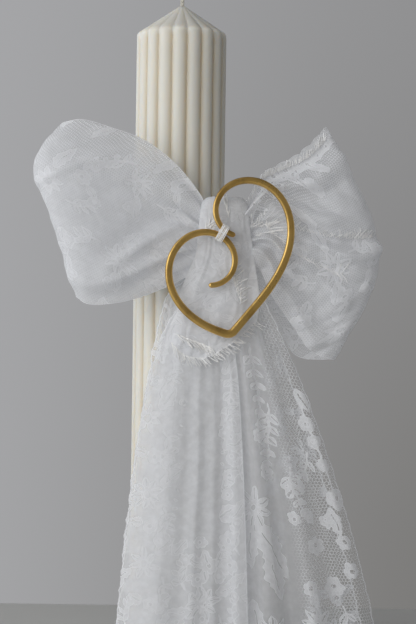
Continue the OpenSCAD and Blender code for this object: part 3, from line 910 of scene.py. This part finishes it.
def wrap_sheet():
    """The lace laid over the middle of the bow, in soft upright gathers."""
    m, n = 130, 240
    i, s = np.linspace(0, 1, m)[:, None], np.linspace(0, 1, n)[None, :]
    middle_y, middle_z = WRAP_Y + WRAP_R, WRAP_TOP - WRAP_R
    bend = WRAP_R * WRAP_TURN
    along = s * (bend + middle_z - WRAP_HEM)
    a = WRAP_TURN * (1 - np.clip(along / bend, 0, 1))
    down = np.maximum(along - bend, 0)
    y, z = middle_y - WRAP_R * np.cos(a), middle_z + WRAP_R * np.sin(a) - down
    x = mix(curve(WRAP_LEFT, z), curve(WRAP_RIGHT, z), i)
    p = np.stack([x, y + 0 * x, z + 0 * x], -1)
    normal = grid_normals(p)
    normal = normal * np.sign(-normal[m // 2, n // 2, 1])
    fall = smooth(down / 80)
    steady = smooth((along - 0.4 * bend) / 22)
    wave = np.sin(TAU * (1.9 * i + 0.5 * ripple(i * 2.0, along / 40, 71) + 0.12))
    push = steady * wave * mix(0.3, 1.1, fall)
    fine = np.sin(TAU * (6.1 * i + 0.9 * ripple(i * 4, along / 26, 72)))
    push += 0.13 * fine * steady
    creased = 0.5 * crumple(x / 19, along / 16, 73) + 0.1 * ripple(x / 5, along / 5, 74)
    push += steady * creased
    belly = 1.5 * bell(down, 34, 22) * bell(i, 0.42, 0.35)
    p = p + normal * np.clip(push + belly, -1.8, 3.2)[..., None]
    outer = np.abs(2 * i - 1)
    p[..., 1] += WRAP_CURL * outer ** 3.5 * mix(1, 0.5, fall)
    p[..., 2] -= 4 * outer ** 6 * (1 - smooth(down / 30))
    return p, run_length(p, 0), run_length(p, 1)


def knot_wrap(lace):
    """The lace over the knot, its points, its hem's line and a line a little above it."""
    bite = 1.6
    p, u, v = wrap_sheet()
    pattern = Lace(u, v, 0.97)
    pattern.ground(75, 40, 46)
    share = np.linspace(0, 1, len(p))[:, None]
    hem = v[:, -1:] - v - curve(WRAP_HEM_CUT, share)
    pattern.border(hem, u, 8.0, 7.0, bite)
    edge = np.argmin(np.abs(hem - bite), axis=1)
    rows = np.arange(len(p))
    return lace_sheet("knot_cover", p, pattern, lace), p, p[rows, edge], p[rows, edge - 8]


# ---------------------------------------------------------------- tails

TAIL_TOP, HEM_Z = 298.0, 10.0
WIRE_X, SWEEP_Y = 31.0, 24.0
# A tail's edges, depth and fold height are curves over its height in mm; its fill and its
# folds' profile are curves over the share of its width. cut is its flat width in metres.
BACK_DEPTH = [[10, -44], [100, -43], [200, -40.5], [255, -39.3], [275, -40.6], [300, -40.6]]
BACK_AMP = [[10, 4.5], [100, 3.6], [200, 2.2], [245, 0.9], [265, 0.25], [300, 0.2]]
FRONT_DEPTH = [[10, -60], [100, -58], [200, -54.5], [240, -54.6], [300, -54.6]]
FRONT_AMP = [[10, 6.5], [100, 5], [200, 2.2], [225, 1.3], [255, 0.3], [300, 0.2]]
TAILS = {
    "tail_back_left": {
        "cut": 0.08, "depth": BACK_DEPTH, "amp": BACK_AMP, "seed": 81,
        "left": [[10, -41], [50, -37], [119, -31], [190, -22], [241, -13], [261, -6], [280, 14],
                 [300, 18]],
        "right": [[10, 62], [120, 52], [200, 41], [260, 30], [300, 30]],
        "fill": [[0, 0.2], [0.25, 0.6], [1, 0.6]],
        "profile": [[0, 0.2], [0.1, -0.8], [0.24, 0.7], [0.36, -0.9], [0.47, 0.8], [0.62, -0.7],
                    [0.76, 0.9], [0.88, -0.8], [1, 0.1]]},
    "tail_back_right": {
        "cut": 0.058, "depth": BACK_DEPTH, "amp": BACK_AMP, "seed": 82,
        "left": [[10, 66], [120, 56], [200, 46], [260, 36], [300, 32.5]],
        "right": [[10, 131], [56, 121], [101, 109], [142, 96], [178, 84], [209, 73], [226, 67],
                  [241, 60], [255, 50], [275, 44], [300, 43]],
        "fill": [[0, 0.3], [0.35, 0.15], [0.6, 0.05], [1, 0.02]],
        "profile": [[0, -0.2], [0.13, 0.8], [0.25, -0.9], [0.4, 0.7], [0.55, -0.8], [0.66, 0.8],
                    [0.8, -0.8], [0.91, 0.5], [1, -0.2]]},
    "tail_front_left": {
        "cut": 0.07, "depth": FRONT_DEPTH, "amp": FRONT_AMP, "seed": 83,
        "left": [[10, -40], [50, -37], [119, -31], [190, -21.5], [230, -11.5], [245, -4],
                 [262, 12], [300, 19]],
        "right": [[10, 49], [120, 45], [200, 40], [245, 34], [260, 31], [300, 30]],
        "fill": [[0, 0.35], [0.08, 0.7], [0.2, 0.97], [0.45, 0.9], [0.7, 0.78], [1, 0.9]],
        "profile": [[0, 0.3], [0.07, -0.1], [0.2, -0.5], [0.33, -0.55], [0.42, -0.1], [0.5, 0.35],
                    [0.59, -0.1], [0.66, 0.3], [0.74, 0.0], [0.83, 0.35], [0.91, -0.6],
                    [1, -0.75]]},
    "tail_front_right": {
        "cut": 0.065, "depth": FRONT_DEPTH, "amp": FRONT_AMP, "seed": 84,
        "left": [[10, 48], [120, 44], [200, 39], [260, 34], [300, 32.5]],
        "right": [[10, 138], [56, 129], [101, 117], [142, 104], [178, 91], [209, 79], [226, 71],
                  [241, 64], [255, 57], [270, 50], [300, 45]],
        "fill": [[0, 0.85], [0.12, 0.58], [0.4, 0.4], [0.55, 0.22], [0.7, 0.03], [1, 0.02]],
        "profile": [[0, 1.1], [0.06, 0.7], [0.14, -0.35], [0.24, -0.35], [0.33, 0.55],
                    [0.42, 0.2], [0.5, -0.6], [0.6, -0.2], [0.7, 0.6], [0.8, 0.1], [0.9, -0.6],
                    [1, 0.3]]},
}


def tail_sheet(shape):
    """One tail: gathered at the knot, falling in uneven folds that deepen downwards."""
    m, n = 230, 330
    seed = shape["seed"]
    i, z = np.linspace(0, 1, m)[:, None], np.linspace(TAIL_TOP, HEM_Z, n)[None, :]
    x = mix(curve(shape["left"], z), curve(shape["right"], z), i)
    amp = curve(shape["amp"], z)
    drop = (TAIL_TOP - z) / (TAIL_TOP - HEM_Z)
    wander = 0.03 * ripple(i * 2.4, z / 120, seed) * np.sin(np.pi * i)
    fold = curve(shape["profile"], i + wander)
    side = -np.gradient(fold, axis=0) * m / 12
    uneven = 0.95 + 0.3 * ripple(i * 3.1, z / 200, seed + 100)
    gather_phase = 9 * i + 0.8 * ripple(i * 3, z / 60, seed + 50)
    gather = 0.25 * bell(drop, 0.2, 0.13) * np.sin(TAU * gather_phase)
    depth = curve(shape["depth"], z)
    pulled = SWEEP_Y * ((x - WIRE_X) / 108) ** 2 * np.clip(1 - z / TAIL_TOP, 0, 1)
    soft = 0.45 * crumple(x / 24, z / 60, seed + 200) + 0.12 * ripple(x / 7, z / 14, seed + 300)
    y = depth + pulled + amp * uneven * fold + gather + soft * smooth(drop / 0.2)
    x = x + 0.1 * amp * side * smooth(drop / 0.3)
    p = np.stack([x, y, z + 0 * x], -1)
    return p, run_length(p, 0), run_length(p, 1)


def left_tail_pattern(pattern, at):
    """Two upright chains of flowers over the left tail's plain folds."""
    for k in range(7):
        middle = at(17 + 1.5 * math.sin(2.1 * k), 102 - 12 * k)
        pattern.ring_flower(middle, 40 * k, 4.6 - 0.8 * (k % 2))
        pattern.leaf(at(19, 97 - 12 * k), 60 + 25 * (k % 3), 9, 2.6)
        pattern.leaf(at(14, 95 - 12 * k), 120 + 20 * (k % 2), 8, 2.4)
    for k in range(5):
        pattern.ring_flower(at(35 + math.sin(1.7 * k), 168 - 12 * k), 25 * k, 5.2 - k % 2, 5)
    pattern.sprig(at(36, 214), 88, 44, 8, 4, 2)
    pattern.ring_flower(at(35, 104), 0, 6.5, 7)
    pattern.ring_flower(at(36, 88), 20, 5.0, 6)


# Small flowers of the right tail: x, z and reach in mm
RIGHT_FLOWERS = ((83, 177, 5.2), (88, 166, 4.2), (94, 152, 4.4), (103, 130, 7.0), (79, 138, 5.0),
                 (90, 100, 6.0), (102, 74, 7.0), (87, 74, 5.0), (108, 103, 5.0), (97, 116, 4.0),
                 (113, 84, 5.0), (76, 118, 4.4))


def right_tail_pattern(pattern, at):
    """Large outlined flowers and leaves, and a line of small flowers down the outer side."""
    pattern.daisy(at(50, 125), 20, 15, 8)
    pattern.leaf(at(52, 118), 68, 42, 8.0, 6)
    pattern.leaf(at(47, 116), 96, 30, 6.0, 5)
    pattern.leaf(at(60, 96), 80, 30, 6.5, 5)
    pattern.leaf(at(50, 66), 80, 26, 6.0, 4)
    pattern.daisy(at(64, 46), 0, 13, 8)
    pattern.leaf(at(76, 198), 64, 15, 3.4)
    for k, (x, z, size) in enumerate(RIGHT_FLOWERS):
        pattern.ring_flower(at(x, z), 30 * k, size)
    pattern.stem([at(78, 192), at(83, 178), at(88, 166), at(94, 152), at(99, 140), at(103, 126)])
    pattern.leaf(at(98, 124), 70, 18, 4.5, 3)
    pattern.sprig(at(84, 160), 84, 30, 8)
    pattern.sprig(at(72, 150), 100, 34, 9, 4, -8)
    pattern.sprig(at(58, 190), 96, 46, 10, 5, 2)
    pattern.sprig(at(45, 228), 88, 60, 9, 6, 2)
    pattern.daisy(at(92, 50), 40, 13)
    pattern.sprig(at(108, 62), 60, 26, 8)


def tail(name, lace):
    """One finished tail: its folds, its pattern, a plain cut outer side and a scalloped hem."""
    shape = TAILS[name]
    p, u, v = tail_sheet(shape)
    share = np.linspace(0, 1, len(p))[:, None]
    gathered = 0.35 * smooth((p[..., 2] - 205) / 45)
    pattern = Lace(u, v, np.clip(curve(shape["fill"], share) + gathered, 0, 0.97))

    def at(x, z):
        """Cut coordinates of the point that the front view shows at x and z."""
        i, j = np.unravel_index(np.argmin((p[..., 0] - x) ** 2 + (p[..., 2] - z) ** 2), u.shape)
        return float(u[i, j]), float(v[i, j])

    if name == "tail_front_left":
        pattern.ground(91, 38, 46)
        plain = bell(share, 0.64, 0.13) * (1 - bell(share, 0.86, 0.07))
        plain = plain * smooth((p[..., 2] - 95) / 25)
        pattern.worked = pattern.worked - 6 * smooth(3 * plain)
        left_tail_pattern(pattern, at)
    elif name == "tail_front_right":
        right_tail_pattern(pattern, at)
    else:
        pattern.ground(shape["seed"] + 9, 48, 60, 0.15)
    outer, inner = u - u[:1], u[-1:] - u
    if "right" in name:
        outer, inner = inner, outer
    pattern.cut_side(outer, v, shape["seed"])
    pattern.worked = np.maximum(pattern.worked, 0.5 - inner)
    pattern.border(v[:, -1:] - v, u, 12.0, 12.0, 4.0)
    return lace_sheet("lace_" + name, p, pattern, lace)


# ---------------------------------------------------------------- brass scroll

SCROLL_Y = -66.0
POINT_AT, POINT_R = np.array([32.5, 233.5]), 5.0
# The halves' direction at the point in degrees, curvature there and at the curl in degrees per
# mm, length in mm, and how late the curvature grows
SCROLL_LEFT = (164, -0.66, -4.1, 147, 1)
SCROLL_RIGHT = (51.4, -0.2, 3.96, 171, 1.14)
WIRE_MID, WIRE_END = 5.8, 3.8
HALF_STEPS = 220
BINDING_AT, BINDING_TILT = np.array([28.4, 296.2]), math.radians(28)


def half_heart(shape, start):
    """A line whose curvature, in degrees per mm, grows from the point to the curl."""
    angle, bend, curl, length, growth = shape
    step = length / HALF_STEPS
    points = [start]
    for i in range(HALF_STEPS):
        ahead = angle + mix(bend, curl, ((i + 0.5) / HALF_STEPS) ** growth) * step
        points.append(points[-1] + step * heading((angle + ahead) / 2))
        angle = ahead
    return points


def scroll_line():
    """The heart's centre line, from the left curl's end through the point to the right one."""
    centre = POINT_AT + (0, POINT_R)
    first, last = SCROLL_LEFT[0] - 180, SCROLL_RIGHT[0]

    def on_bend(a):
        return centre + POINT_R * heading(a - 90)

    left = half_heart(SCROLL_LEFT, on_bend(first))[::-1]
    bend = [on_bend(mix(first, last, k / 24)) for k in range(1, 24)]
    return np.array(left + bend + half_heart(SCROLL_RIGHT, on_bend(last)))


def brass_scroll(material):
    """The scroll as bent and polished: wire of a slightly squared section with rounded ends."""
    line = scroll_line()
    steps = np.concatenate([[0], np.cumsum(np.linalg.norm(np.diff(line, axis=0), axis=1))])
    share = steps / steps[-1]
    radius = mix(WIRE_MID, WIRE_END, np.abs(2 * share - 1) ** 1.5) / 2
    ends = np.clip(np.minimum(steps, steps[-1] - steps) / (WIRE_END / 2), 0, 1)
    radius = radius * np.sqrt(np.maximum(1 - (1 - ends) ** 2, 0.012))
    radius = radius * (1 - 0.012 * (1 + ripple(steps / 16, 0, 92)))
    tangent = unit(np.gradient(line, axis=0))
    across = np.stack([-tangent[:, 1], tangent[:, 0]], -1)
    sides = 28
    a = TAU * np.arange(sides) / sides
    squared = 1 - 0.06 * np.cos(4 * (a[None, :] + 0.5 * ripple(steps / 60, 0, 93)[:, None]))
    c, s = np.cos(a)[None, :] * squared, np.sin(a)[None, :] * squared
    r = radius[:, None] * 0.945
    x = line[:, :1] + across[:, :1] * c * r
    z = line[:, 1:] + across[:, 1:] * c * r
    y = SCROLL_Y + s * r
    p = np.stack([x, y, z], -1)
    first = list(range(sides))
    last = [(len(line) - 1) * sides + k for k in reversed(first)]
    faces = ring_faces(len(line), sides).tolist() + [first, last]
    return new_object("heart_scroll", (p * MM).reshape(-1, 3), faces, material)


def along_binding(x, y, z):
    """Turns points about the binding's middle to the slope of the two curls."""
    c, s = math.cos(BINDING_TILT), math.sin(BINDING_TILT)
    x0, z0 = BINDING_AT
    return np.stack([x0 + x * c + z * s, SCROLL_Y + y, z0 - x * s + z * c], -1)


def scroll_binding(material):
    """Thread wound seven and a half times round both curls, in one piece."""
    half, r = 2.6, 2.95  # half the distance between the two wires, and the turns' radius
    turns, pitch, thread_r = 7.5, 0.72, 0.27
    t = np.linspace(0, turns * TAU, 620)
    z = half * np.tanh(3 * np.cos(t)) + r * np.cos(t)
    y = r * np.sin(t) * (1 + 0.04 * np.sin(3.3 * t))
    x = (t / TAU - turns / 2) * pitch + 0.1 * np.sin(1.7 * t)
    paths = [along_binding(x, y, z)]
    return threads_object("thread_binding", paths, [thread_r], material, sides=8)


def tie_stitches(material):
    """Three strands that hold the binding to the knot, with a small knot behind them."""
    low, high = (np.array(c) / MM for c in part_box("tie_stitch"))
    x0, z0 = (low[0] + high[0]) / 2, (low[2] + high[2]) / 2
    apart, knot_r, thread_r = 0.32, 0.62, 0.26
    t = np.linspace(0, 1, 14)
    y = mix(low[1], high[1], t)
    paths = []
    for k in range(3):
        a = TAU * (k / 3 + 0.6 * t)
        paths.append(np.stack([x0 + apart * np.cos(a), y, z0 + apart * np.sin(a)], -1))
    a = np.linspace(0, TAU * 1.6, 40)
    y = high[1] - 0.4 + 0.12 * np.sin(2 * a)
    paths.append(np.stack([x0 + knot_r * np.cos(a), y, z0 + knot_r * np.sin(a)], -1))
    return threads_object("stitch_threads", paths, [thread_r] * 4, material, sides=8)


# ---------------------------------------------------------------- loose threads


def lash(root, out, lift, length, curl, draw):
    """One loose thread: it leaves its root along out and curls towards lift."""
    t = np.linspace(0, 1, 7)[:, None]
    side = np.cross(out, lift)
    wave = 0.12 * length * (draw.random() - 0.5) * np.sin(math.pi * t)
    return root + out * t * length + lift * curl * length * t * t + side * wave


def edge_lashes(line, inside, count, length, lean, seed, lift, depth=0.0):
    """Eyelash threads along an edge of a sheet. line and inside are rows of grid points: the
    edge itself and a row a little way in. lean slants them along the edge, lift curls them
    forwards, and depth is how far in their roots are, as a share of the way to inside."""
    draw = np.random.default_rng(seed)
    paths = []
    m = len(line)
    for k in range(count):
        i = int((k + 0.8 * draw.random()) / count * (m - 2)) + 1
        root = mix(line[i], inside[i], depth)
        out = unit(line[i] - inside[i])
        along = unit(line[min(i + 2, m - 1)] - line[max(i - 2, 0)])
        way = unit(out + along * (lean + 0.5 * (draw.random() - 0.5)))
        up = np.array([0.0, -1.0, 0.0]) * (0.4 + 0.9 * draw.random())
        size = length * (0.55 + 0.6 * draw.random())
        paths.append(lash(root, way, up, size, lift * (draw.random() - 0.15), draw))
    return paths


def surface_lashes(p, spots, count, length, turn, seed, cross=26):
    """Threads lying on a sheet along a line of (i, j) shares, slanted by turn degrees, every
    other one crossing the rest by twice the cross angle."""
    draw = np.random.default_rng(seed)
    m, n = p.shape[:2]
    face = grid_normals(p)
    paths = []
    for k in range(count):
        t = (k + 0.7 * draw.random()) / count
        i = int(np.interp(t, np.linspace(0, 1, len(spots)), [q[0] for q in spots]) * (m - 1))
        j = int(np.interp(t, np.linspace(0, 1, len(spots)), [q[1] for q in spots]) * (n - 1))
        normal = face[i, j] if face[i, j, 1] < 0 else -face[i, j]
        a = math.radians(turn + (cross if k % 2 else -cross) + 14 * (draw.random() - 0.5))
        flat = np.array([math.cos(a), 0.0, math.sin(a)])
        way = unit(flat - normal * float(flat @ normal))
        size = length * (0.6 + 0.6 * draw.random())
        root = p[i, j] + normal * 0.5
        paths.append(lash(root, way, normal, size, 0.22 * draw.random(), draw))
    return paths


# ---------------------------------------------------------------- camera, light and stage

LENS, SENSOR = 84.6923077, 36  # mm, on the picture's longer side
CAMERA_AT = Vector((0.020, -0.979, 0.247))
CAMERA_ROLL = 0.014
TABLE_EDGE_Y = 0.254


def camera():
    """A level camera about a metre in front of the candle, rolled a little."""
    data = bpy.data.cameras.new("camera")
    data.sensor_fit = "AUTO"
    data.sensor_width = SENSOR
    data.lens = LENS
    obj = bpy.data.objects.new("camera", data)
    c, s = math.cos(CAMERA_ROLL), math.sin(CAMERA_ROLL)
    turn = Matrix(((c, -s, 0), (0, 0, -1), (s, c, 0)))
    obj.matrix_world = Matrix.Translation(CAMERA_AT) @ turn.to_4x4()
    bpy.context.scene.collection.objects.link(obj)
    bpy.context.scene.camera = obj


def area_light(name, at, height, size, power, colour, mirrored=True):
    """A soft light aimed at a height on the candle, seen mirrored in the brass or not."""
    data = bpy.data.lights.new(name, "AREA")
    data.shape = "RECTANGLE"
    data.size, data.size_y = size
    data.energy = power
    data.color = colour
    obj = bpy.data.objects.new(name, data)
    obj.location = at
    way = Vector((0, 0, height)) - Vector(at)
    obj.rotation_euler = way.to_track_quat("-Z", "Y").to_euler()
    obj.visible_glossy = mirrored
    bpy.context.scene.collection.objects.link(obj)


def surroundings():
    """A plain grey room: paler on the window side, dim overhead and behind the camera."""
    world = bpy.data.worlds.new("room")
    bpy.context.scene.world = world
    g = Nodes(world)
    x, y, z = g.xyz(g.node("ShaderNodeTexCoord").outputs["Generated"])
    far_side = g.blend(g.step(z, -0.25, 0.3), (0.195, 0.191, 0.184), (0.285, 0.285, 0.291))
    wall = g.blend(g.step(x, -0.22, 0.19), (0.385, 0.387, 0.398), far_side)
    room = g.blend(g.step(y, 0.5, -0.3), wall, (0.22, 0.215, 0.21))
    room = g.blend(g.step(z, 0.45, 0.8), room, (0.13, 0.13, 0.13))
    back = g.node("ShaderNodeBackground")
    g.put(back.inputs[0], room)
    g.finish(back.outputs[0], "ShaderNodeOutputWorld")


def table_top():
    """The pale table, whose far edge lies behind the candle."""
    g = new_material("pale_table")
    grain = g.noise(14.0, 4.0)
    colour = g.blend(grain, (0.48, 0.48, 0.465), (0.52, 0.52, 0.505))
    material = g.finish(g.principled(
        Base_Color=colour, Roughness=0.55, Normal=g.bump(g.noise(300.0, 2.0), 0.0001)))
    x0, x1, y0, y1 = -1.6, 1.6, -1.4, TABLE_EDGE_Y
    thick = 0.03
    verts = [(x, y, z) for z in (0.0, -thick) for x, y in ((x0, y0), (x1, y0), (x1, y1), (x0, y1))]
    faces = [(0, 1, 2, 3), (7, 6, 5, 4), (0, 4, 5, 1), (1, 5, 6, 2), (2, 6, 7, 3), (3, 7, 4, 0)]
    new_object("table_top", verts, faces, material, smooth_shade=False)


def light_scene():
    """Cool daylight from the left and from above, and the room's own light in front."""
    area_light("window", (-0.9, -0.53, 0.48), 0.22, (0.9, 0.8), 4.4, (0.93, 0.96, 1.0))
    area_light("back_window", (-0.9, 0.75, 0.45), 0.25, (1.0, 1.1), 3.4, (0.95, 0.97, 1.0), False)
    area_light("sky", (-0.5, -0.5, 1.6), 0.2, (1.4, 1.0), 1.5, (0.97, 0.98, 1.0))
    area_light("room_fill", (-0.6, -1.25, 0.6), 0.22, (1.4, 1.2), 11.0, (1.0, 0.99, 0.97), False)
    bpy.context.scene.view_settings.view_transform = "Standard"


# ---------------------------------------------------------------- the whole object


def place(obj, body, slot, *nodes):
    """Rides the piece on its body and hides the CAD parts it stands for."""
    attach(obj, body)
    if nodes:
        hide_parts(*nodes)
    return obj


def cloth(obj, body, nodes, flat, held, rests_on, slot="lace", trim=()):
    """Places a sheet and hides the CAD parts it stands for; flat, in metres, is not used."""
    place(obj, body, slot, *nodes)
    list(trim)
    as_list(rests_on)


LACE_WHITE = (0.875, 0.886, 0.912)


def build():
    """Makes every piece and places it on its body."""
    lace = lace_material("white_lace", LACE_WHITE, 2.3, 0.55, 0.46)
    thick_lace = lace_material("loop_lace", LACE_WHITE, 1.6, 1.25, 0.46)
    cotton = thread_material("white_cotton", (0.94, 0.94, 0.94))
    wick_cotton = thread_material("wick_cotton", (0.55, 0.53, 0.47))
    steel = steel_material()

    place(wax_pillar(wax_material()), "candle", "wax", "wax_body")
    place(braided_wick(wick_cotton), "candle", "cotton", "wick")
    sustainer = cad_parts["wick_sustainer"].data
    sustainer.materials.clear()
    sustainer.materials.append(steel)

    cloth(satin_band(satin_material()), "band", ["satin_band"], (0.052, 0.19), "stretched",
          ["wax_body"], "satin")
    grid = sash_grid()
    pattern = Lace(run_length(grid, 1), run_length(grid, 0), 0.8)
    pattern.ground(33, 44, 60)
    sash = lace_sheet("lace_wrap_sash", grid, pattern, lace)
    cloth(sash, "bow", ["lace_sash"], (0.052, 0.25), "stretched", ["satin_band"])
    place(floral_wire(steel), "bow", "tinned_steel", "floral_wire")

    left, right, right_p = loops(thick_lace)
    knot, knot_p, knot_hem, above_hem = knot_wrap(lace)
    tails = {name: tail(name, lace) for name in TAILS}

    fringe = edge_lashes(knot_hem, above_hem, 60, 8.0, 1.1, 11, 0.2)
    fringe += surface_lashes(knot_p, ((0.05, 0.86), (0.5, 0.93)), 34, 10, -50, 12, 8)
    fringe += surface_lashes(knot_p, ((0.12, 0.28), (0.34, 0.26)), 16, 7, 55, 13)
    fringe += surface_lashes(knot_p, ((0.5, 0.13), (0.6, 0.22)), 10, 6, 90, 18, 8)
    fringe += surface_lashes(knot_p, ((0.62, 0.5), (0.78, 0.7)), 26, 8, 60, 14)
    knot_fringe = threads_object("knot_fringe", fringe, [0.25] * len(fringe), cotton)
    place(knot_fringe, "bow", "lace")

    fringe = edge_lashes(right_p[8:150, -3], right_p[8:150, -9], 110, 4.6, 0.5, 15, 0.2, 0.6)
    fringe += surface_lashes(right_p, ((0.2, 0.52), (0.36, 0.56), (0.47, 0.53)), 70, 6, 80, 16)
    fringe += surface_lashes(right_p, ((0.1, 0.4), (0.24, 0.36), (0.36, 0.38)), 44, 8, 10, 17, 50)
    fringe += surface_lashes(right_p, ((0.08, 0.6), (0.14, 0.5), (0.16, 0.38)), 30, 8, 60, 19, 40)
    right_fringe = threads_object("right_loop_fringe", fringe, [0.22] * len(fringe), cotton)
    place(right_fringe, "bow", "lace")

    cloth(left, "bow", ["loop_left"], (0.105, 0.27), "gathered", ["lace_sash"])
    cloth(right, "bow", ["loop_right"], (0.105, 0.24), "gathered", ["lace_sash"],
          trim=[right_fringe])
    cloth(knot, "bow", ["knot_wrap"], (0.042, 0.115), "draped", ["loop_left"],
          trim=[knot_fringe])
    for name, obj in tails.items():
        cloth(obj, "bow", [name], (TAILS[name]["cut"], 0.29), "hung", ["lace_sash"])

    brass = brass_material()
    place(brass_scroll(brass), "scroll", "brass", "brass_scroll")
    place(scroll_binding(cotton), "scroll", "cotton", "scroll_binding")
    place(tie_stitches(cotton), "bow", "cotton", "tie_stitch")


camera()
surroundings()
table_top()
light_scene()
build()
